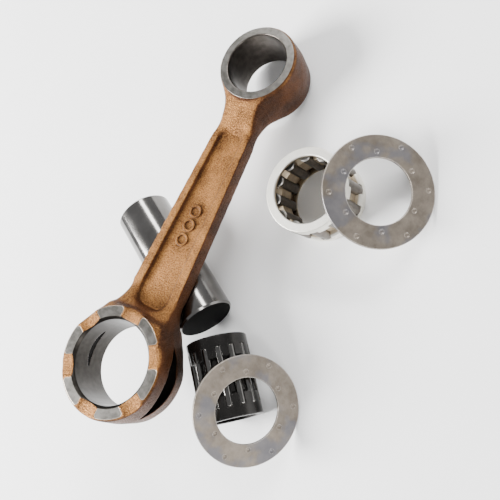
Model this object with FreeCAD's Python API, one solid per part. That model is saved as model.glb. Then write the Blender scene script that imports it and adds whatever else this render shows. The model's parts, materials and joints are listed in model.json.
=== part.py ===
import FreeCAD, Part
import math
import os

# Connecting rod kit of a small two-stroke engine, laid out on a flat surface:
# the rod leans on its crankpin, the two needle bearings lie beside it and a
# thrust washer leans on each bearing.
# Lengths in millimetres, angles in degrees.
#
# The rod's own frame: X across the shank, Y from the big end to the small
# end, Z up out of the machined faces, origin at the middle of the big bore.

V = FreeCAD.Vector
X_AXIS = V(1, 0, 0)
Y_AXIS = V(0, 1, 0)
Z_AXIS = V(0, 0, 1)

# ---- connecting rod: bores and ends ----
centre_distance = 110.0
big_bore_r = 14.0
big_bore_chamfer = 0.9
big_face_half = 8.6
big_face_r = 18.3
big_edge_round = 0.5
big_middle_r = 19.4
small_bore_r = 10.5
small_bore_chamfer = 0.3
small_face_half = 8.75
small_face_r = 13.2
small_middle_r = 14.4

# ---- connecting rod: shank ----
flange_half = 3.05
web_half = 1.4
shank_low_y = 28.5
shank_low_half = 9.9
shank_top_y = 90.0
shank_top_half = 7.05
flare_r = 24.0
neck_r = 8.4
flank_inset = 0.5
ramp_low_start_y = 24.5
ramp_low_end_y = 18.6
step_low_y = 17.4
step_half = 5.2
ramp_top_start_y = 88.0
ramp_top_end_y = 98.0
shoulder_half = 8.0

# ---- connecting rod: the pocket between the flanges, at flange height ----
pocket_low_y = 20.3
pocket_low_half = 6.7
pocket_top_y = 88.6
pocket_top_half = 4.65
pocket_low_round = 4.6
pocket_top_round = 3.6
pocket_side_slope = 0.55
pocket_low_slope = 0.3
pocket_top_slope = 1.6
pocket_floor_round = 0.8

# ---- connecting rod: oil grooves, oil slots and forged marks ----
groove_count = 6
groove_width = 7.5
groove_depth = 0.65
groove_start_r = 11.0
groove_length = 12.0
slot_cutter_r = 24.0
slot_hub_r = 12.0
slot_cutter_x = 35.2
slot_taper = 0.36
mark_y = (46.0, 51.3, 56.6)
mark_r = 2.3
mark_wall = 0.75
mark_height = 0.6
mark_root = 0.3

# ---- how far the cutting tools run past what they cut ----
overshoot = 1.0
blank_reach = 60.0
tolerance = 0.01

# ---- crankpin ----
pin_r = 10.0
pin_length = 50.5
pin_chamfer = 0.7

# ---- big end bearing ----
big_cage_r = 13.85
big_cage_bore_r = 10.95
big_cage_height = 17.2
big_cage_wall = 1.3
big_cage_ring = 1.3
big_cage_waist = 6.4
roller_count = 12
roller_r = 2.0
roller_length = 12.0
roller_window = 3.4

# ---- small end bearing ----
small_cage_r = 10.35
small_cage_bore_r = 8.3
small_cage_height = 26.9
small_cage_wall = 0.9
small_cage_ring = 3.4
small_cage_waist = 10.6
needle_count = 14
needle_r = 1.25
needle_length = 19.6
needle_window = 2.0

# ---- rolling pieces, both bearings ----
pocket_play = 0.05
roller_end_round = 0.3
cage_edge = 0.25

# ---- thrust washers ----
washer_r = 17.8
washer_bore_r = 10.5
washer_thick = 1.0
washer_edge = 0.15
dimple_count = 6
dimple_outer_ring_r = 15.7
dimple_inner_ring_r = 12.4
dimple_r = 0.8
dimple_depth = 0.28

# ---- layout on the table, X and Y counted from the big bore's middle ----
rod_tilt = 10.3
pin_heading = -30.3
pin_shift = -25.7
lean_gap = 0.05
big_cage_x = 34.3
big_cage_y = 75.3
small_cage_x = 28.1
small_cage_y = 7.4
small_cage_heading = -50.6
small_cage_phase = 19.2
right_washer_tilt = 38.0
right_washer_heading = 19.3
right_washer_x = 55.4
right_washer_y = 82.3
right_washer_phase = 26.0
left_washer_tilt = 50.0
left_washer_heading = 15.7
left_washer_x = 41.9
left_washer_y = 3.2
left_washer_phase = 25.5


def rad(degrees):
    return math.radians(degrees)


def polar(radius, degrees, z=0.0):
    return V(radius * math.cos(rad(degrees)), radius * math.sin(rad(degrees)), z)


def arc(a, b, c):
    return Part.Arc(a, b, c).toShape()


def line(a, b):
    return Part.makeLine(a, b)


def polygon_face(points):
    return Part.Face(Part.makePolygon(points + [points[0]]))


def revolved(points):
    """Solid of revolution about Z of a closed profile given as (radius, z)."""
    face = polygon_face([V(r, 0, z) for r, z in points])
    return face.revolve(V(0, 0, 0), Z_AXIS, 360)


def cylinder(radius, low, high, x=0.0, y=0.0):
    return Part.makeCylinder(radius, high - low, V(x, y, low), Z_AXIS)


def barrel(radius, length, edge):
    """Round bar about Z with chamfered ends, centred on the origin."""
    half = length / 2
    return revolved([
        (0, -half), (radius - edge, -half), (radius, edge - half),
        (radius, half - edge), (radius - edge, half), (0, half)])


def rounded_wire(corners, radii, z):
    """Closed wire through the corners, each one rounded by a tangent arc."""
    count = len(corners)
    ends = []
    for i in range(count):
        here = corners[i]
        back = (corners[i - 1] - here).normalize()
        ahead = (corners[(i + 1) % count] - here).normalize()
        half_angle = back.getAngle(ahead) / 2
        reach = radii[i] / math.tan(half_angle)
        middle = (back + ahead).normalize()
        centre = here + middle * (radii[i] / math.sin(half_angle))
        ends.append((here + back * reach, centre - middle * radii[i], here + ahead * reach))
    edges = []
    for i in range(count):
        start, through, end = ends[i]
        edges.append(arc(start, through, end))
        edges.append(line(end, ends[(i + 1) % count][0]))
    wire = Part.Wire(edges)
    wire.translate(V(0, 0, z))
    return wire


# ---------------------------------------------------------------- the rod

def flare(side_point, side_dir, centre, end_r, radius, upward):
    """Tangent arc between the shank's right side and a round end.

    Returns its point on the side, its middle and its point on the end."""
    outward = V(side_dir.y, -side_dir.x, 0)
    base = side_point + outward * radius - centre
    along = base.dot(side_dir)
    reach = math.sqrt((end_r + radius) ** 2 - base.dot(base) + along ** 2)
    step = -along - reach if upward else -along + reach
    middle = side_point + outward * radius + side_dir * step
    on_side = middle - outward * radius
    on_end = centre + (middle - centre).normalize() * end_r
    between = ((on_side + on_end) * 0.5 - middle).normalize()
    return on_side, middle + between * radius, on_end


def mirrored(point):
    return V(-point.x, point.y, point.z)


def rod_outline(inset, z):
    """Outline of the forging in plan, moved inwards by inset."""
    low = V(shank_low_half - inset, shank_low_y, 0)
    top = V(shank_top_half - inset, shank_top_y, 0)
    along = (top - low).normalize()
    small_centre = V(0, centre_distance, 0)
    big_r = big_middle_r - inset
    small_r = small_middle_r - inset
    a1, a2, a3 = flare(low, along, V(0, 0, 0), big_r, flare_r + inset, False)
    b1, b2, b3 = flare(low, along, small_centre, small_r, neck_r + inset, True)
    edges = [
        arc(mirrored(a3), V(0, -big_r, 0), a3),
        arc(a3, a2, a1),
        line(a1, b1),
        arc(b1, b2, b3),
        arc(b3, V(0, centre_distance + small_r, 0), mirrored(b3)),
        arc(mirrored(b3), mirrored(b2), mirrored(b1)),
        line(mirrored(b1), mirrored(a1)),
        arc(mirrored(a1), mirrored(a2), mirrored(a3))]
    wire = Part.Wire(edges)
    wire.translate(V(0, 0, z))
    return wire


def rod_side_block():
    """Side view of the forging: thin shank, ramps up to both ends."""
    reach = blank_reach
    upper = [
        (-reach, shoulder_half), (step_low_y, shoulder_half), (ramp_low_end_y, step_half),
        (ramp_low_start_y, flange_half), (ramp_top_start_y, flange_half),
        (ramp_top_end_y, shoulder_half), (centre_distance + reach, shoulder_half)]
    lower = [(y, -z) for y, z in reversed(upper)]
    face = polygon_face([V(-reach, y, z) for y, z in upper + lower])
    return face.extrude(V(2 * reach, 0, 0))


def rod_blank():
    """Shank and shoulders, drafted both ways from the parting plane."""
    inset = flank_inset
    halves = []
    for top in (big_face_half, -big_face_half):
        halves.append(Part.makeLoft([rod_outline(0, 0), rod_outline(inset, top)], True, True))
    blank = halves[0].fuse(halves[1])
    return blank.common(rod_side_block())


def big_end_boss():
    half = big_face_half
    draft_r = big_face_r + big_edge_round
    return revolved([
        (0, -half), (big_face_r, -half), (draft_r, big_edge_round - half),
        (big_middle_r, 0), (draft_r, half - big_edge_round), (big_face_r, half), (0, half)])


def small_end_boss():
    half = small_face_half
    edges = [
        line(V(0, 0, -half), V(small_face_r, 0, -half)),
        arc(V(small_face_r, 0, -half), V(small_middle_r, 0, 0), V(small_face_r, 0, half)),
        line(V(small_face_r, 0, half), V(0, 0, half)),
        line(V(0, 0, half), V(0, 0, -half))]
    boss = Part.Face(Part.Wire(edges)).revolve(V(0, 0, 0), Z_AXIS, 360)
    boss.translate(V(0, centre_distance, 0))
    return boss


def bore_cutter(radius, chamfer, half, y):
    past = half + overshoot
    mouth = radius + chamfer + overshoot
    tool = revolved([
        (0, -past), (mouth, -past), (radius, chamfer - half),
        (radius, half - chamfer), (mouth, past), (0, past)])
    tool.translate(V(0, y, 0))
    return tool


def pocket_wire(z):
    """Pocket outline at height z: the sides and the big end's wall are steep, and
    the floor runs out gently towards the small end."""
    height = z - flange_half
    outset = height * pocket_side_slope
    lean = (pocket_top_half - pocket_low_half) / (pocket_top_y - pocket_low_y)
    low_y = pocket_low_y - height * pocket_low_slope
    top_y = pocket_top_y + height * pocket_top_slope
    low_half = pocket_low_half + outset + lean * (low_y - pocket_low_y)
    top_half = pocket_top_half + outset + lean * (top_y - pocket_top_y)
    corners = [V(-low_half, low_y, 0), V(low_half, low_y, 0),
               V(top_half, top_y, 0), V(-top_half, top_y, 0)]
    low_round = pocket_low_round + outset
    top_round = pocket_top_round + outset
    return rounded_wire(corners, [low_round, low_round, top_round, top_round], z)


def pocket_cutter():
    tool = Part.makeLoft([pocket_wire(web_half), pocket_wire(shoulder_half)], True, True)
    floor_edges = [e for e in tool.Edges if e.BoundBox.ZMax < web_half + tolerance]
    return tool.makeFillet(pocket_floor_round, floor_edges)


def groove_cutters():
    """Round-bottomed radial grooves across one big end face."""
    cut_r = (groove_width ** 2 / 4 + groove_depth ** 2) / (2 * groove_depth)
    height = big_face_half - groove_depth + cut_r
    tools = []
    for i in range(groove_count):
        angle = (i + 0.5) * 360 / groove_count
        start = polar(groove_start_r, angle, height)
        tools.append(Part.makeCylinder(cut_r, groove_length, start, polar(1, angle)))
    return tools


def oil_slots():
    """Lens-shaped slots left by a disc cutter with a bevelled rim."""
    hub_r = slot_hub_r
    half = (slot_cutter_r - hub_r) * slot_taper
    tools = []
    for side in (-1, 1):
        disc = revolved([(0, -half), (hub_r, -half), (slot_cutter_r, 0), (hub_r, half), (0, half)])
        disc.translate(V(side * slot_cutter_x, 0, 0))
        tools.append(disc)
    return tools


def forged_marks():
    """Three plain raised rings in place of the casting number."""
    marks = []
    for y in mark_y:
        ring = cylinder(mark_r, web_half - mark_root, web_half + mark_height, 0, y)
        hole = cylinder(mark_r - mark_wall, web_half - overshoot, web_half + overshoot, 0, y)
        marks.append(ring.cut(hole))
    return marks


def flipped(shape):
    copy = shape.copy()
    copy.rotate(V(0, 0, 0), Y_AXIS, 180)
    return copy


def make_rod():
    body = rod_blank()
    pocket = pocket_cutter()
    body = body.fuse([big_end_boss(), small_end_boss()])
    grooves = groove_cutters()
    cuts = [pocket, flipped(pocket)]
    cuts += grooves + [flipped(g) for g in grooves]
    cuts.append(bore_cutter(big_bore_r, big_bore_chamfer, big_face_half, 0))
    cuts.append(bore_cutter(small_bore_r, small_bore_chamfer, small_face_half, centre_distance))
    cuts += oil_slots()
    body = body.cut(cuts)
    body = body.fuse(forged_marks())
    return body.removeSplitter().Solids[0]


# ------------------------------------------------------- pin and bearings

def make_pin():
    return barrel(pin_r, pin_length, pin_chamfer)


def make_cage(pitch_r, outer_r, bore_r, height, wall, ring, waist, count, body_r, body_length, window):
    """Cage with a waist: its bars run outside near the ends and inside between.

    The rolling pieces' axes are at pitch_r, so that they stand just proud of the cage."""
    half = height / 2
    edge = cage_edge
    low_r = outer_r - wall
    high_r = bore_r + wall
    w = waist / 2
    r = half - ring
    cage = revolved([
        (bore_r, edge - half), (bore_r + edge, -half), (outer_r - edge, -half),
        (outer_r, edge - half), (outer_r, -w - wall), (high_r, -w), (high_r, w),
        (outer_r, w + wall), (outer_r, half - edge), (outer_r - edge, half),
        (bore_r + edge, half), (bore_r, half - edge), (bore_r, r), (low_r, r),
        (low_r, w + wall), (bore_r, w), (bore_r, -w), (low_r, -w - wall),
        (low_r, -r), (bore_r, -r)])
    reach = body_length / 2 + pocket_play
    tools = []
    for i in range(count):
        angle = i * 360 / count
        centre = polar(pitch_r, angle)
        tools.append(cylinder(body_r + pocket_play, -reach, reach, centre.x, centre.y))
        slot = Part.makeBox(outer_r, window, 2 * reach, V(bore_r / 2, -window / 2, -reach))
        slot.rotate(V(0, 0, 0), Z_AXIS, angle)
        tools.append(slot)
    return cage.cut(tools).Solids[0]


def make_rolling_set(count, body_r, length, pitch_r):
    pieces = []
    for i in range(count):
        piece = barrel(body_r, length, roller_end_round)
        piece.translate(polar(pitch_r, i * 360 / count))
        pieces.append(piece)
    return pieces


# ---------------------------------------------------------------- washers

def dimple(radius, angle, side):
    ball_r = (dimple_r ** 2 + dimple_depth ** 2) / (2 * dimple_depth)
    height = washer_thick / 2 - dimple_depth + ball_r
    return Part.makeSphere(ball_r, polar(radius, angle, side * height))


def make_washer():
    half = washer_thick / 2
    edge = washer_edge
    washer = revolved([
        (washer_bore_r, edge - half), (washer_bore_r + edge, -half), (washer_r - edge, -half),
        (washer_r, edge - half), (washer_r, half - edge), (washer_r - edge, half),
        (washer_bore_r + edge, half), (washer_bore_r, half - edge)])
    tools = []
    for i in range(dimple_count):
        angle = i * 360 / dimple_count
        for side in (-1, 1):
            tools.append(dimple(dimple_outer_ring_r, angle, side))
            tools.append(dimple(dimple_inner_ring_r, angle - 180 / dimple_count, side))
    return washer.cut(tools).Solids[0]


# ----------------------------------------------------------------- layout

def moved(shape, placement):
    copy = shape.copy()
    copy.Placement = placement.multiply(copy.Placement)
    return copy


def rod_placement():
    """The rod leans over about the crankpin's direction."""
    up = V(-math.sin(rad(pin_heading)) * math.sin(rad(rod_tilt)),
           math.cos(rad(pin_heading)) * math.sin(rad(rod_tilt)),
           math.cos(rad(rod_tilt)))
    pitch = math.degrees(math.atan2(up.y, up.z))
    roll = math.degrees(math.asin(up.x))
    turn = FreeCAD.Rotation(X_AXIS, -pitch).multiply(FreeCAD.Rotation(Y_AXIS, roll))
    return FreeCAD.Placement(V(0, 0, 0), turn)


def pin_placement(floor):
    """The pin lies on the floor and just touches the shank's underside."""
    height = floor + pin_r
    away = -(flange_half + pin_r + lean_gap + math.cos(rad(rod_tilt)) * height)
    away = away / math.sin(rad(rod_tilt))
    centre = polar(away, pin_heading + 90) + polar(pin_shift, pin_heading)
    turn = FreeCAD.Rotation(Z_AXIS, pin_heading).multiply(FreeCAD.Rotation(Y_AXIS, 90))
    return FreeCAD.Placement(centre + V(0, 0, height), turn)


def big_bearing_placement(floor):
    centre = V(big_cage_x, big_cage_y, floor + big_cage_height / 2)
    return FreeCAD.Placement(centre, FreeCAD.Rotation())


def small_bearing_placement():
    """Lying bearing, its axis along the heading."""
    turn = FreeCAD.Rotation(Z_AXIS, small_cage_heading).multiply(FreeCAD.Rotation(Y_AXIS, 90))
    turn = turn.multiply(FreeCAD.Rotation(Z_AXIS, small_cage_phase))
    return FreeCAD.Placement(V(small_cage_x, small_cage_y, 0), turn)


def washer_placement(x, y, tilt, heading, phase):
    """A washer leaning over towards its heading."""
    turn = FreeCAD.Rotation(Z_AXIS, heading).multiply(FreeCAD.Rotation(Y_AXIS, tilt))
    turn = turn.multiply(FreeCAD.Rotation(Z_AXIS, phase - heading))
    return FreeCAD.Placement(V(x, y, 0), turn)


def stand(shapes, floor):
    """Raise or lower a group of pieces until it just meets the floor."""
    lowest = min(shape.optimalBoundingBox(False, False).ZMin for shape in shapes)
    for shape in shapes:
        shape.translate(V(0, 0, floor - lowest))


def make_bearing(prefix, piece, cage, pieces, placement):
    """Named cage and rolling pieces of one bearing, in place."""
    nodes = {prefix + "_cage": moved(cage, placement)}
    for i, solid in enumerate(pieces):
        nodes["%s_%s_%02d" % (prefix, piece, i + 1)] = moved(solid, placement)
    return nodes


def build():
    rod = moved(make_rod(), rod_placement())
    floor = rod.optimalBoundingBox(False, False).ZMin
    nodes = {"connecting_rod": rod}
    nodes["crank_pin"] = moved(make_pin(), pin_placement(floor))

    pitch_r = big_bore_r - roller_r
    cage = make_cage(
        pitch_r, big_cage_r, big_cage_bore_r, big_cage_height, big_cage_wall, big_cage_ring,
        big_cage_waist, roller_count, roller_r, roller_length, roller_window)
    rollers = make_rolling_set(roller_count, roller_r, roller_length, pitch_r)
    bearing = make_bearing("big_end", "roller", cage, rollers, big_bearing_placement(floor))
    nodes.update(bearing)

    pitch_r = small_bore_r - needle_r
    cage = make_cage(
        pitch_r, small_cage_r, small_cage_bore_r, small_cage_height, small_cage_wall, small_cage_ring,
        small_cage_waist, needle_count, needle_r, needle_length, needle_window)
    needles = make_rolling_set(needle_count, needle_r, needle_length, pitch_r)
    bearing = make_bearing("small_end", "needle", cage, needles, small_bearing_placement())
    stand(bearing.values(), floor)
    nodes.update(bearing)

    right = moved(make_washer(), washer_placement(
        right_washer_x, right_washer_y, right_washer_tilt, right_washer_heading, right_washer_phase))
    left = moved(make_washer(), washer_placement(
        left_washer_x, left_washer_y, left_washer_tilt, left_washer_heading, left_washer_phase))
    for washer in (right, left):
        stand([washer], floor)
    nodes["thrust_washer_right"] = right
    nodes["thrust_washer_left"] = left
    return nodes


def centre_on_floor(nodes):
    """Put the origin under the middle of the kit, at floor level."""
    box = Part.makeCompound(list(nodes.values())).optimalBoundingBox(False, False)
    shift = V(-(box.XMin + box.XMax) / 2, -(box.YMin + box.YMax) / 2, -box.ZMin)
    for shape in nodes.values():
        shape.translate(shift)
    return shift


nodes = build()
centre_on_floor(nodes)
os.makedirs("parts", exist_ok=True)
for name, shape in nodes.items():
    shape.exportStep("parts/" + name + ".step")
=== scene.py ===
"""Looks of the connecting rod kit: the softened forging, materials, floor, lights and camera."""
import json
import math

import bmesh
import bpy
import numpy as np
from mathutils import Matrix, Vector


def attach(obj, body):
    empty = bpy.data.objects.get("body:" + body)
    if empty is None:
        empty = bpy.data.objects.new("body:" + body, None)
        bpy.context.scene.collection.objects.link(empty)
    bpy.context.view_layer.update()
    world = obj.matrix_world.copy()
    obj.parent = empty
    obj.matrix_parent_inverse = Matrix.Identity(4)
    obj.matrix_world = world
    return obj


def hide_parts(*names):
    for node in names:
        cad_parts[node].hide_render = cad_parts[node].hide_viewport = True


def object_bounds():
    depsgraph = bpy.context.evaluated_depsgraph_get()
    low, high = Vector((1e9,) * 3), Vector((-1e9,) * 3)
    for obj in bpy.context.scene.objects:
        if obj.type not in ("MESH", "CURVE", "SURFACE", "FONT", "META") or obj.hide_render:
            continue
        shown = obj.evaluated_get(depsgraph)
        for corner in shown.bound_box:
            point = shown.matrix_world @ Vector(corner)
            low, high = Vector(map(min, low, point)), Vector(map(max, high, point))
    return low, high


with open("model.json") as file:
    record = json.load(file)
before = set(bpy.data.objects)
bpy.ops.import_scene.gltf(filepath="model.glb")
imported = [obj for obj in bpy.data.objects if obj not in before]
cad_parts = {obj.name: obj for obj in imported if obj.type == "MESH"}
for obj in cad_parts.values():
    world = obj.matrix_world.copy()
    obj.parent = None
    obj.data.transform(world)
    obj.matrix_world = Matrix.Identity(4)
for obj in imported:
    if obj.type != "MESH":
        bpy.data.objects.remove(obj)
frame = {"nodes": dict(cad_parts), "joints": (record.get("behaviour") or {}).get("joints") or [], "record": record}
cad_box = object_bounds()
nodes = frame["nodes"]
joints = {joint["name"]: joint for joint in frame["joints"]}
mounts = {mount["name"]: mount for mount in frame["record"]["mounts"]}

MM = 0.001

# Colours: the dark and the light end of a mottled one, or a single one.
GOLDEN_COPPER = (0.036, 0.012, 0.003), (0.37, 0.170, 0.052)
# Darker brown copper for the forging's walls: painted shade.
WALL_SHADE_COPPER = (0.018, 0.0065, 0.0025), (0.120, 0.045, 0.016)
# Painted shade for crevices and recesses in the forging.
CREVICE_SHADE_COPPER = (0.026, 0.009, 0.003)
PIT_COPPER = (0.03, 0.013, 0.007)
# Near black painted shade for the walls of the oil slots.
SLOT_SHADE_BLACK = (0.004, 0.0035, 0.003)
PAD_STEEL = (0.060, 0.056, 0.050), (0.215, 0.205, 0.188)
# Painted highlight for a thin band round the edge of each ground pad.
PAD_HIGHLIGHT_STEEL = (0.33, 0.29, 0.24)
# The big bore's wall is painted darker than the small bore's as shade.
BIG_BORE_SHADE_STEEL = (0.014, 0.012, 0.010), (0.040, 0.036, 0.032)
SMALL_WALL_STEEL = (0.050, 0.042, 0.036), (0.120, 0.106, 0.094)
PIN_STEEL = (0.075, 0.071, 0.068), (0.19, 0.183, 0.175)
# Near black painted shade for the pin's end faces.
PIN_END_SHADE = (0.0015, 0.0015, 0.0015)
CAGE_SILVER = (0.72, 0.69, 0.60), (0.97, 0.95, 0.88)
CAGE_TAN = (0.20, 0.145, 0.088), (0.56, 0.47, 0.34)
CAGE_SHADE = (0.022, 0.013, 0.008)
ROLLER_STEEL = (0.085, 0.074, 0.062), (0.175, 0.155, 0.132)
NEEDLE_STEEL = (0.055, 0.053, 0.050), (0.15, 0.146, 0.14)
# Painted highlight for the chamfered ends of rollers and needles.
ROLLER_END_HIGHLIGHT = (0.40, 0.385, 0.36)
BLACK_OXIDE = (0.008, 0.0075, 0.007), (0.030, 0.028, 0.026)
# Painted highlight for patches along the black cage's edges.
EDGE_HIGHLIGHT_OXIDE = (0.22, 0.21, 0.20)
WASHER_STEEL = (0.120, 0.099, 0.078), (0.290, 0.250, 0.205)
WASHER_BLUE = (0.130, 0.137, 0.165)
# Painted highlight for the washers' edges and dimple rims.
WASHER_EDGE_HIGHLIGHT = (0.62, 0.58, 0.53)
FLOOR_WHITE = (0.88, 0.88, 0.875), (0.92, 0.92, 0.915)


# ------------------------------------------------------------ shader helper

class Shader:
    """One material, with a short call for each kind of node that it uses."""

    def __init__(self, name, metallic=1.0):
        self.material = bpy.data.materials.new(name)
        self.material.use_nodes = True
        self.tree = self.material.node_tree
        self.surface = self.tree.nodes["Principled BSDF"]
        self.set("Metallic", metallic)
        coordinates = self.add("ShaderNodeTexCoord")
        self.place = coordinates.outputs["Object"]
        self.normal = coordinates.outputs["Normal"]

    def add(self, kind):
        return self.tree.nodes.new(kind)

    def put(self, socket, value):
        """Link the socket to another node's output, or set it to a plain value."""
        if isinstance(value, bpy.types.NodeSocket):
            self.tree.links.new(value, socket)
        elif socket.type == "RGBA":
            socket.default_value = (*value, 1.0)
        else:
            socket.default_value = value

    def set(self, name, value):
        self.put(self.surface.inputs[name], value)

    def math(self, operation, *values):
        node = self.add("ShaderNodeMath")
        node.operation = operation
        for socket, value in zip(node.inputs, values):
            self.put(socket, value)
        return node.outputs[0]

    def times(self, a, b):
        return self.math("MULTIPLY", a, b)

    def mixed(self, a, b, share):
        """The share of a plus the rest of b."""
        return self.math("ADD", self.times(a, share), self.times(b, 1.0 - share))

    def dot(self, a, b):
        node = self.add("ShaderNodeVectorMath")
        node.operation = "DOT_PRODUCT"
        self.put(node.inputs[0], a)
        self.put(node.inputs[1], b)
        return node.outputs["Value"]

    def along(self, origin, axis):
        """Distance of the surface point from an origin, measured along an axis."""
        return self.math("SUBTRACT", self.dot(self.place, tuple(axis)), Vector(origin).dot(axis))

    def joined(self, x, y, z):
        node = self.add("ShaderNodeCombineXYZ")
        for socket, value in zip(node.inputs, (x, y, z)):
            self.put(socket, value)
        return node.outputs[0]

    def length(self, x, y):
        return self.math("SQRT", self.math("ADD", self.times(x, x), self.times(y, y)))

    def step(self, value, low, high):
        """0 below low, 1 above high and smooth between; high below low turns it round."""
        node = self.add("ShaderNodeMapRange")
        node.interpolation_type = "SMOOTHSTEP"
        self.put(node.inputs["Value"], value)
        node.inputs["From Min"].default_value = min(low, high)
        node.inputs["From Max"].default_value = max(low, high)
        node.inputs["To Min"].default_value = 0.0 if low < high else 1.0
        node.inputs["To Max"].default_value = 1.0 if low < high else 0.0
        return node.outputs["Result"]

    def between(self, share, low, high):
        """A number from low to high as share goes from 0 to 1."""
        node = self.add("ShaderNodeMix")
        self.put(node.inputs["Factor"], share)
        self.put(node.inputs[2], low)
        self.put(node.inputs[3], high)
        return node.outputs[0]

    def tint(self, share, low, high):
        """A colour from low to high as share goes from 0 to 1."""
        node = self.add("ShaderNodeMix")
        node.data_type = "RGBA"
        self.put(node.inputs["Factor"], share)
        self.put(node.inputs[6], low)
        self.put(node.inputs[7], high)
        return node.outputs[2]

    def noise(self, size, detail, place=None, roughness=0.5):
        """Noise with blotches of about this size, in metres."""
        node = self.add("ShaderNodeTexNoise")
        self.put(node.inputs["Vector"], place or self.place)
        node.inputs["Scale"].default_value = 1.0 / size
        node.inputs["Detail"].default_value = detail
        node.inputs["Roughness"].default_value = roughness
        return node.outputs["Fac"]

    def lines_round(self, size, detail, middle, axis, squeeze):
        """Fine lines round an axis, from noise squeezed along it."""
        first, second = cross_axes(axis)
        along = self.times(self.along(middle, axis), squeeze)
        place = self.joined(along, self.along(middle, first), self.along(middle, second))
        return self.noise(size, detail, place)

    def rounded(self, radius):
        """The normal with sharp edges rounded by this radius."""
        node = self.add("ShaderNodeBevel")
        node.samples = 6
        node.inputs["Radius"].default_value = radius
        return node.outputs["Normal"]

    def open_air(self, reach):
        """1 in the open, towards 0 in a crevice narrower than reach."""
        node = self.add("ShaderNodeAmbientOcclusion")
        node.samples = 8
        node.inputs["Distance"].default_value = reach
        return node.outputs["AO"]

    def bump(self, height, depth, normal=None):
        """Bump the surface by a height from 0 to 1, scaled to a depth in metres."""
        node = self.add("ShaderNodeBump")
        node.inputs["Distance"].default_value = depth
        self.put(node.inputs["Height"], height)
        if normal is not None:
            self.put(node.inputs["Normal"], normal)
        return node.outputs["Normal"]


def dress(names, material):
    for name in names:
        nodes[name].data.materials.clear()
        nodes[name].data.materials.append(material)


def cross_axes(axis):
    """Two unit axes square to the given one."""
    first = axis.orthogonal().normalized()
    return first, axis.cross(first)


def turning(joint_name):
    """Middle and unit axis of what turns at a joint."""
    joint = joints[joint_name]
    return Vector(joint["pos_m"]), Vector(joint["axis"]).normalized()


def reach_along(name, middle, axis):
    """How far a piece reaches from a middle point along an axis."""
    return max(abs((vertex.co - middle).dot(axis)) for vertex in nodes[name].data.vertices)


# ------------------------------------------------------------- rod geometry

big_bore = mounts["big_end_bore"]
small_bore = mounts["small_end_bore"]
rod_up = Vector(big_bore["axis"]).normalized()
small_middle = Vector(small_bore["pos_m"])
big_middle = Vector(big_bore["pos_m"])
big_middle -= rod_up * (big_middle - small_middle).dot(rod_up)
rod_along = (small_middle - big_middle).normalized()
rod_across = rod_along.cross(rod_up)
big_face = (Vector(mounts["big_end_face"]["pos_m"]) - big_middle).dot(rod_up)
small_face = (Vector(mounts["small_end_face"]["pos_m"]) - small_middle).dot(rod_up)

# Outer radii of the six ground pads and of the small end's ground ring.
PAD_REACH = 18.35 * MM
RING_REACH = 13.3 * MM


def bore_sizes(bore, face):
    """Radius of a bore, half the length of its wall and the radius of its chamfer's rim."""
    bore_r = bore["dims"]["r_mm"] * MM
    wall_half = bore["dims"]["length_mm"] * MM / 2
    return bore_r, wall_half, bore_r + face - wall_half


# ----------------------------------------------------- the forging's material

# Grooves between the pads, the pads' corners and the width of the painted highlight around each pad.
GROOVES = 6
GROOVE_HALF = 3.75 * MM
PAD_CORNER = 1.5 * MM
PAD_CORNER_FADE = 0.12 * MM
PAD_HIGHLIGHT_WIDTH = 0.15 * MM

# The oil slots are cut by a tapered disc on either side of the big end.
SLOT_DISC_R = 24.0 * MM
SLOT_DISC_X = 35.2 * MM
SLOT_TAPER = 0.36
SLOT_REACH = 21.0 * MM
SLOT_REACH_FADE = 0.5 * MM

# Depths under a surface at which its mask is still 1 and at which it has gone to 0.
WALL_ON, WALL_OFF = 0.06 * MM, 0.12 * MM
CHAMFER_ON, CHAMFER_OFF = 0.06 * MM, 0.14 * MM
FACE_ON, FACE_OFF = 0.05 * MM, 0.12 * MM
SLOT_ON, SLOT_OFF = 0.12 * MM, 0.30 * MM
REACH_FADE = 0.1 * MM

COPPER_BUMP = 0.14 * MM


def ground_masks(s, middle, bore, face, face_reach, height):
    """Two masks, 1 on a ground bore with its chamfers and 1 on the ground face around
    it, and the surface point's radius, x and y from the bore's axis."""
    x = s.along(middle, rod_across)
    y = s.along(middle, rod_along)
    radius = s.length(x, y)
    bore_r, wall_half, mouth_r = bore_sizes(bore, face)
    on_wall = s.step(radius, bore_r + WALL_OFF, bore_r + WALL_ON)
    slope = s.math("SUBTRACT", height, radius)
    on_slope = s.step(slope, wall_half - bore_r - CHAMFER_OFF, wall_half - bore_r - CHAMFER_ON)
    on_slope = s.times(on_slope, s.step(radius, mouth_r + REACH_FADE, mouth_r))
    on_face = s.times(s.step(height, face - FACE_OFF, face - FACE_ON),
                      s.step(radius, face_reach, face_reach - REACH_FADE))
    return s.math("MAXIMUM", on_wall, on_slope), on_face, radius, x, y


def pad_corners(s, radius, x, y, margin=0.0):
    """1 on the six pads with their rounded corners, 0 past them and in a margin inside."""
    pitch = 2 * math.pi / GROOVES
    angle = s.math("SUBTRACT", s.math("ARCTAN2", y, x), pitch / 2)
    angle = s.math("WRAP", angle, pitch / 2, -pitch / 2)
    from_groove = s.times(radius, s.math("ABSOLUTE", s.math("SINE", angle)))
    from_side = s.math("SUBTRACT", from_groove, GROOVE_HALF + margin)
    from_rim = s.math("SUBTRACT", PAD_REACH - margin, radius)
    short = [s.math("MAXIMUM", s.math("SUBTRACT", PAD_CORNER, gap), 0.0)
             for gap in (from_side, from_rim)]
    return s.step(s.length(*short), PAD_CORNER, PAD_CORNER - PAD_CORNER_FADE)


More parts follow.
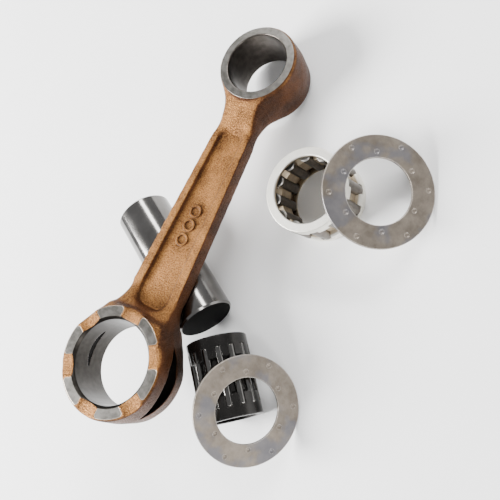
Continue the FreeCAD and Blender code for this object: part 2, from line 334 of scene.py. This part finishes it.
def slot_mask(s, radius, x, y, height):
    """1 on the walls of the two lens-shaped oil slots."""
    from_disc = s.length(s.math("SUBTRACT", SLOT_DISC_X, s.math("ABSOLUTE", x)), y)
    lens = s.times(s.math("SUBTRACT", SLOT_DISC_R, from_disc), SLOT_TAPER)
    inside = s.step(s.math("SUBTRACT", height, lens), SLOT_OFF, SLOT_ON)
    return s.times(inside, s.step(radius, SLOT_REACH, SLOT_REACH - SLOT_REACH_FADE))


def copper_colour(s, grain, mottle, slot):
    """Golden on the flats and dark in pits; painted shade makes the walls darker brown, the crevices dark and the
    oil slots near black.
    """
    facing = s.math("ABSOLUTE", s.dot(s.normal, tuple(rod_up)))
    pits = s.step(s.noise(1.1 * MM, 1.0), 0.20, 0.25)
    flats = s.tint(s.mixed(grain, mottle, 0.65), *GOLDEN_COPPER)
    # Walls facing sideways get a darker brown as painted shade.
    walls = s.tint(s.mixed(grain, mottle, 0.5), *WALL_SHADE_COPPER)
    colour = s.tint(s.step(facing, 0.40, 0.97), walls, flats)
    # Painted shade: darker where ambient occlusion finds a crevice or recess.
    colour = s.tint(s.step(s.open_air(3.0 * MM), 0.35, 1.0), CREVICE_SHADE_COPPER, colour)
    colour = s.tint(pits, PIT_COPPER, colour)
    # The oil slots' walls are painted near black as shade.
    return s.tint(slot, colour, SLOT_SHADE_BLACK)


def ground_colour(s, scratches, wall, small_wall, rim):
    """Grey faces with a thin painted highlight around each pad, and darker bores, the big bore darkened further as
    painted shade.
    """
    haze = s.step(s.noise(2.2 * MM, 4.0), 0.28, 0.72)
    share = s.mixed(scratches, haze, 0.5)
    # The big bore's darker steel is painted shade.
    shaded_big_steel = s.tint(share, *BIG_BORE_SHADE_STEEL)
    small_steel = s.tint(share, *SMALL_WALL_STEEL)
    wall_steel = s.tint(small_wall, shaded_big_steel, small_steel)
    face_steel = s.tint(rim, s.tint(share, *PAD_STEEL), PAD_HIGHLIGHT_STEEL)
    return s.tint(wall, face_steel, wall_steel)


def copper_forging():
    """Blasted, copper-plated forging with ground steel faces and bores."""
    s = Shader("copper_plated_forging")
    height = s.math("ABSOLUTE", s.along(big_middle, rod_up))
    big_wall, big_top, radius, x, y = ground_masks(
        s, big_middle, big_bore, big_face, PAD_REACH, height)
    small_wall, small_top, small_radius, _, _ = ground_masks(
        s, small_middle, small_bore, small_face, RING_REACH, height)
    big_top = s.times(big_top, pad_corners(s, radius, x, y))
    inner_pad = pad_corners(s, radius, x, y, PAD_HIGHLIGHT_WIDTH)
    # The band inside each pad's edge carries a painted highlight.
    rim = s.times(big_top, s.math("SUBTRACT", 1.0, inner_pad))
    wall = s.math("MAXIMUM", big_wall, small_wall)
    ground = s.math("MAXIMUM", wall, s.math("MAXIMUM", big_top, small_top))
    slot = slot_mask(s, radius, x, y, height)

    grain = s.step(s.noise(0.45 * MM, 3.0, roughness=0.65), 0.28, 0.72)
    mottle = s.step(s.noise(7.0 * MM, 4.0), 0.30, 0.70)
    round_bores = s.joined(s.times(s.math("MINIMUM", radius, small_radius), 14.0), x, y)
    scratches = s.noise(1.3 * MM, 3.0, round_bores)

    copper = copper_colour(s, grain, mottle, slot)
    steel = ground_colour(s, scratches, wall, small_wall, rim)
    copper_roughness = s.between(slot, s.between(grain, 0.56, 0.36), 0.9)
    steel_roughness = s.between(scratches, 0.26, 0.42)
    copper_relief = s.math("ADD", grain, s.times(mottle, 0.8))
    relief = s.between(ground, copper_relief, s.times(scratches, 0.06))
    s.set("Base Color", s.tint(ground, copper, steel))
    s.set("Metallic", s.between(ground, s.between(slot, 0.85, 1.0), 1.0))
    s.set("Roughness", s.between(ground, copper_roughness, steel_roughness))
    s.set("Normal", s.bump(relief, COPPER_BUMP))
    return s.material


# ------------------------------------------------------- the forging's shape

VOXEL = 0.25 * MM
FLAT_NEAR = 0.6 * VOXEL

# The whole forging is relaxed a little, and the ramps from the shank up to both ends
# much more. A ramp lies between two radii around its bore, more than RAMP_START along
# the rod from it and more than RAMP_HEIGHT from the parting plane.
SOFT_ROUNDS = 7
RAMP_ROUNDS = 110
LOW_RAMP = (16.5 * MM, 29.0 * MM)
TOP_RAMP = (12.8 * MM, 27.0 * MM)
RAMP_START = 4.0 * MM
RAMP_HEIGHT = 1.5 * MM
RAMP_PLATEAU = 1.6

# The raised rings on the web stay crisp: start, end and half width of their field.
MARKS = (42.0 * MM, 61.0 * MM, 3.4 * MM)


def remeshed(source, to_local):
    """Even quads over a CAD node, in the frame given by to_local."""
    mesh = source.data.copy()
    mesh.transform(to_local)
    draft = bpy.data.objects.new("draft", mesh)
    bpy.context.scene.collection.objects.link(draft)
    modifier = draft.modifiers.new("even", "REMESH")
    modifier.mode = "VOXEL"
    modifier.voxel_size = VOXEL
    graph = bpy.context.evaluated_depsgraph_get()
    even = bpy.data.meshes.new_from_object(draft.evaluated_get(graph))
    bpy.data.objects.remove(draft)
    return even


def points_and_edges(mesh):
    points = np.empty(len(mesh.vertices) * 3)
    mesh.vertices.foreach_get("co", points)
    edges = np.empty(len(mesh.edges) * 2, dtype=np.int32)
    mesh.edges.foreach_get("vertices", edges)
    return points.reshape(-1, 3), edges.reshape(-1, 2)


def relaxed(points, edges, share, rounds):
    """Move each point part of the way to the middle of its neighbours, several times."""
    count = len(points)
    ends = np.concatenate([edges, edges[:, ::-1]])
    neighbours = np.maximum(np.bincount(ends[:, 0], minlength=count), 1)
    for _ in range(rounds):
        sums = [np.bincount(ends[:, 0], points[ends[:, 1], k], count) for k in range(3)]
        middle = np.stack(sums, 1)
        points += (middle / neighbours[:, None] - points) * (0.5 * share)[:, None]
    return points


def snap_round(points, y, radius, wall_half):
    """Put the points of a bore's wall exactly on its cylinder, and say which they are."""
    away = np.hypot(points[:, 0], points[:, 1] - y)
    near = (abs(away - radius) < VOXEL) & (abs(points[:, 2]) < wall_half)
    scale = radius / away[near]
    points[near, 0] *= scale
    points[near, 1] = y + (points[near, 1] - y) * scale
    return near


def free_share(points, span):
    """Put the bores and ground faces where the CAD has them. 0 for points that stay put
    from here on, 1 for the others."""
    height = abs(points[:, 2])
    share = np.ones(len(points))
    ends = ((0.0, big_bore, big_face, PAD_REACH), (span, small_bore, small_face, RING_REACH))
    for y, bore, face, reach in ends:
        bore_r, wall_half, mouth_r = bore_sizes(bore, face)
        away = np.hypot(points[:, 0], points[:, 1] - y)
        share[snap_round(points, y, bore_r, wall_half)] = 0.0
        share[away < mouth_r + VOXEL] = 0.0
        flat = (height > face - FLAT_NEAR) & (away < reach)
        points[flat, 2] = np.sign(points[flat, 2]) * face
        share[flat] = 0.0
    low, high, half = MARKS
    on_marks = (points[:, 1] > low) & (points[:, 1] < high) & (abs(points[:, 0]) < half)
    share[on_marks & (points[:, 2] > 0)] = 0.0
    return share


def ramp_share(points, span, height):
    """1 on the ramps between the shank and the two ends, fading out around them."""
    share = np.zeros(len(points))
    for y, toward, (low, high) in ((0.0, 1, LOW_RAMP), (span, -1, TOP_RAMP)):
        away = np.hypot(points[:, 0], points[:, 1] - y)
        along = np.clip((away - low) / (high - low), 0, 1)
        inward = np.clip((points[:, 1] - y) * toward / RAMP_START - 1, 0, 1)
        share += np.clip(np.sin(np.pi * along) * RAMP_PLATEAU, 0, 1) * inward
    return share * np.clip(height / RAMP_HEIGHT - 1, 0, 1)


def soft_forging():
    """The rod with a forging's soft edges. Its bores and ground faces stay as in the CAD."""
    to_local = Matrix((rod_across, rod_along, rod_up)).to_4x4()
    to_local = to_local @ Matrix.Translation(-big_middle)
    mesh = remeshed(nodes["connecting_rod"], to_local)
    points, edges = points_and_edges(mesh)
    span = (small_middle - big_middle).length
    height = abs(points[:, 2])
    share = free_share(points, span)
    points = relaxed(points, edges, share, SOFT_ROUNDS)
    on_ramp = ramp_share(points, span, height)
    points = relaxed(points, edges, share * on_ramp, RAMP_ROUNDS)

    to_world = np.array(to_local.inverted())
    points = points @ to_world[:3, :3].T + to_world[:3, 3]
    corners = np.array([vertex.co for vertex in nodes["connecting_rod"].data.vertices])
    points = np.clip(points, corners.min(0), corners.max(0))
    mesh.vertices.foreach_set("co", points.ravel())
    mesh.polygons.foreach_set("use_smooth", [True] * len(mesh.polygons))
    mesh.update()
    mesh.name = "forged_rod"
    mesh.materials.clear()
    mesh.materials.append(copper_forging())
    piece = bpy.data.objects.new("forged_rod", mesh)
    bpy.context.scene.collection.objects.link(piece)
    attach(piece, "connecting_rod")
    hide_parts("connecting_rod")


# ------------------------------------------------------- steel and bearings

# The silver cage turns from tan to silver between these distances from its ends and
# between these radii.
CAGE_RING = (1.0 * MM, 0.2 * MM)
CAGE_OUTSIDE = (12.9 * MM, 13.6 * MM)


def polished_pin():
    """Ground and polished bar: faint lines round it, a little haze, and end faces painted near black as shade."""
    s = Shader("polished_pin")
    middle, axis = turning("crank_pin_turn")
    lines = s.lines_round(2.0 * MM, 3.0, middle, axis, 18.0)
    haze = s.noise(6.0 * MM, 3.0)
    half = reach_along("crank_pin", middle, axis)
    end = s.step(s.math("ABSOLUTE", s.along(middle, axis)), half - 0.1 * MM, half - 0.02 * MM)
    side_roughness = s.between(s.mixed(lines, haze, 0.5), 0.09, 0.20)
    # The end faces are painted near black as shade.
    s.set("Base Color", s.tint(end, s.tint(haze, *PIN_STEEL), PIN_END_SHADE))
    s.set("Roughness", s.between(end, side_roughness, 0.75))
    s.set("Normal", s.bump(lines, 0.0015 * MM, s.rounded(0.15 * MM)))
    return s.material


def bright_cage():
    """Silvered rings and outside, tan bars inside, darkened to brown with painted shade deep in the cage."""
    s = Shader("bright_cage", 0.85)
    middle, axis = turning("big_end_cage_turn")
    first, second = cross_axes(axis)
    radius = s.length(s.along(middle, first), s.along(middle, second))
    half = reach_along("big_end_cage", middle, axis)
    height = s.math("ABSOLUTE", s.along(middle, axis))
    on_ring = s.step(height, half - CAGE_RING[0], half - CAGE_RING[1])
    silvered = s.math("MAXIMUM", on_ring, s.step(radius, *CAGE_OUTSIDE))
    blotches = s.noise(2.2 * MM, 3.0)
    grain = s.noise(0.3 * MM, 2.0)
    silver = s.tint(s.mixed(blotches, grain, 0.5), *CAGE_SILVER)
    tan = s.tint(blotches, *CAGE_TAN)
    # Painted shade darkens the tan deep inside the cage.
    inside = s.tint(s.step(s.open_air(2.5 * MM), 0.15, 0.8), CAGE_SHADE, tan)
    s.set("Base Color", s.tint(silvered, inside, silver))
    s.set("Roughness", s.between(grain, 0.32, 0.50))
    s.set("Normal", s.bump(grain, 0.012 * MM, s.rounded(0.15 * MM)))
    return s.material


def rolling_steel(name, joint_name, node_name, steel, roughness):
    """Ground rollers: fine lines round the bearing, and chamfered ends painted lighter as a highlight."""
    s = Shader(name)
    middle, axis = turning(joint_name)
    lines = s.lines_round(0.8 * MM, 2.0, middle, axis, 10.0)
    half = reach_along(node_name, middle, axis)
    end = s.step(s.math("ABSOLUTE", s.along(middle, axis)), half - 0.4 * MM, half - 0.25 * MM)
    body = s.tint(s.noise(1.5 * MM, 2.0), *steel)
    # The chamfered ends get a painted highlight.
    s.set("Base Color", s.tint(end, body, ROLLER_END_HIGHLIGHT))
    s.set("Roughness", s.between(lines, roughness, roughness + 0.12))
    s.set("Normal", s.bump(lines, 0.0004 * MM, s.rounded(0.12 * MM)))
    return s.material


def black_cage():
    """Black-oxide steel, semi-gloss, with painted highlights in patches along its edges."""
    s = Shader("black_cage", 0.75)
    grain = s.noise(0.25 * MM, 2.0)
    blotches = s.noise(3.0 * MM, 3.0)
    smooth = s.rounded(0.2 * MM)
    # Edges, in patches, are painted light grey as a highlight.
    edge_highlight = s.times(s.step(s.dot(smooth, s.normal), 0.97, 0.80), blotches)
    s.set("Base Color", s.tint(edge_highlight, s.tint(blotches, *BLACK_OXIDE), EDGE_HIGHLIGHT_OXIDE))
    s.set("Roughness", s.between(grain, 0.18, 0.32))
    s.set("Normal", s.bump(grain, 0.003 * MM, smooth))
    return s.material


def washer_steel():
    """Heat-tinted washers: mottled grey-brown, bluish patches, and painted highlights on the edges and dimple
    rims.
    """
    s = Shader("washer_steel", 0.8)
    blotches = s.step(s.noise(5.0 * MM, 6.0, roughness=0.65), 0.22, 0.78)
    patches = s.step(s.noise(9.0 * MM, 3.0), 0.46, 0.60)
    grain = s.noise(0.28 * MM, 2.0)
    skewed = [s.dot(s.place, row) for row in ((9.0, 5.0, 0.0), (-0.5, 1.0, 0.0), (0.0, 0.0, 1.0))]
    scratches = s.noise(1.2 * MM, 3.0, s.joined(*skewed))
    smooth = s.rounded(0.25 * MM)
    # Sharp edges and dimple rims get a painted highlight.
    edge_glint = s.step(s.dot(smooth, s.normal), 0.985, 0.93)
    warm = s.tint(s.mixed(blotches, scratches, 0.7), *WASHER_STEEL)
    tone = s.tint(s.times(patches, 0.6), warm, WASHER_BLUE)
    s.set("Base Color", s.tint(edge_glint, tone, WASHER_EDGE_HIGHLIGHT))
    s.set("Roughness", s.between(s.mixed(grain, blotches, 0.5), 0.36, 0.56))
    s.set("Normal", s.bump(s.math("ADD", grain, scratches), 0.008 * MM, smooth))
    return s.material


def dress_all():
    rollers = [name for name in nodes if name.startswith("big_end_roller")]
    needles = [name for name in nodes if name.startswith("small_end_needle")]
    dress(["crank_pin"], polished_pin())
    dress(["big_end_cage"], bright_cage())
    dress(rollers, rolling_steel(
        "roller_steel", "big_end_cage_turn", rollers[0], ROLLER_STEEL, 0.30))
    dress(["small_end_cage"], black_cage())
    dress(needles, rolling_steel(
        "needle_steel", "small_end_cage_turn", needles[0], NEEDLE_STEEL, 0.08))
    dress(["thrust_washer_right", "thrust_washer_left"], washer_steel())


# -------------------------------------------------- floor, lights and camera

FLOOR_HALF = 1.6
FLOOR_ROUGHNESS = 0.85

# Name, place, width and height in metres, and watts.
SOFTBOXES = (
    ("key", (-0.55, -0.46, 0.50), 0.42, 0.42, 34.0),
    ("far_strip", (-0.12, 0.70, 0.60), 0.70, 0.14, 10.0),
    ("right_strip", (0.60, -0.20, 0.30), 0.10, 0.50, 2.5))
SKY_COLOUR = (0.97, 0.98, 1.0, 1.0)
SKY_STRENGTH = 0.75

CAMERA_PLACE = Vector((119.8, 10.2, 199.2)) * MM
CAMERA_BACK = Vector((0.5285, 0.0516, 0.8474))
CAMERA_ROLL = -73.7
CAMERA_LENS = 47.6
CAMERA_SENSOR = 36.0
CAMERA_NEAR = 10 * MM


def pale_floor():
    mesh = bpy.data.meshes.new("floor")
    shape = bmesh.new()
    bmesh.ops.create_grid(shape, x_segments=1, y_segments=1, size=FLOOR_HALF)
    shape.to_mesh(mesh)
    shape.free()
    floor = bpy.data.objects.new("floor", mesh)
    floor.location = (0.0, 0.0, cad_box[0][2])
    bpy.context.scene.collection.objects.link(floor)
    s = Shader("pale_floor", 0.0)
    s.set("Base Color", s.tint(s.noise(40.0 * MM, 2.0), *FLOOR_WHITE))
    s.set("Roughness", FLOOR_ROUGHNESS)
    mesh.materials.append(s.material)


def softbox(name, place, width, height, watts):
    light = bpy.data.lights.new(name, "AREA")
    light.shape = "RECTANGLE"
    light.size = width
    light.size_y = height
    light.energy = watts
    lamp = bpy.data.objects.new(name, light)
    lamp.location = place
    lamp.rotation_euler = (-Vector(place)).to_track_quat("-Z", "Y").to_euler()
    bpy.context.scene.collection.objects.link(lamp)


def studio_light():
    for values in SOFTBOXES:
        softbox(*values)
    world = bpy.data.worlds.new("studio")
    bpy.context.scene.world = world
    world.use_nodes = True
    background = world.node_tree.nodes["Background"]
    background.inputs["Color"].default_value = SKY_COLOUR
    background.inputs["Strength"].default_value = SKY_STRENGTH


def photo_camera():
    """The photographer's camera: above the right-hand pieces, rolled on its side."""
    data = bpy.data.cameras.new("camera")
    data.lens = CAMERA_LENS
    data.sensor_width = CAMERA_SENSOR
    data.clip_start = CAMERA_NEAR
    data.dof.use_dof = False
    camera = bpy.data.objects.new("camera", data)
    level = (-CAMERA_BACK).to_track_quat("-Z", "Y").to_matrix()
    turned = level @ Matrix.Rotation(math.radians(CAMERA_ROLL), 3, "Z")
    camera.matrix_world = Matrix.Translation(CAMERA_PLACE) @ turned.to_4x4()
    bpy.context.scene.collection.objects.link(camera)
    bpy.context.scene.camera = camera


soft_forging()
dress_all()
pale_floor()
studio_light()
photo_camera()
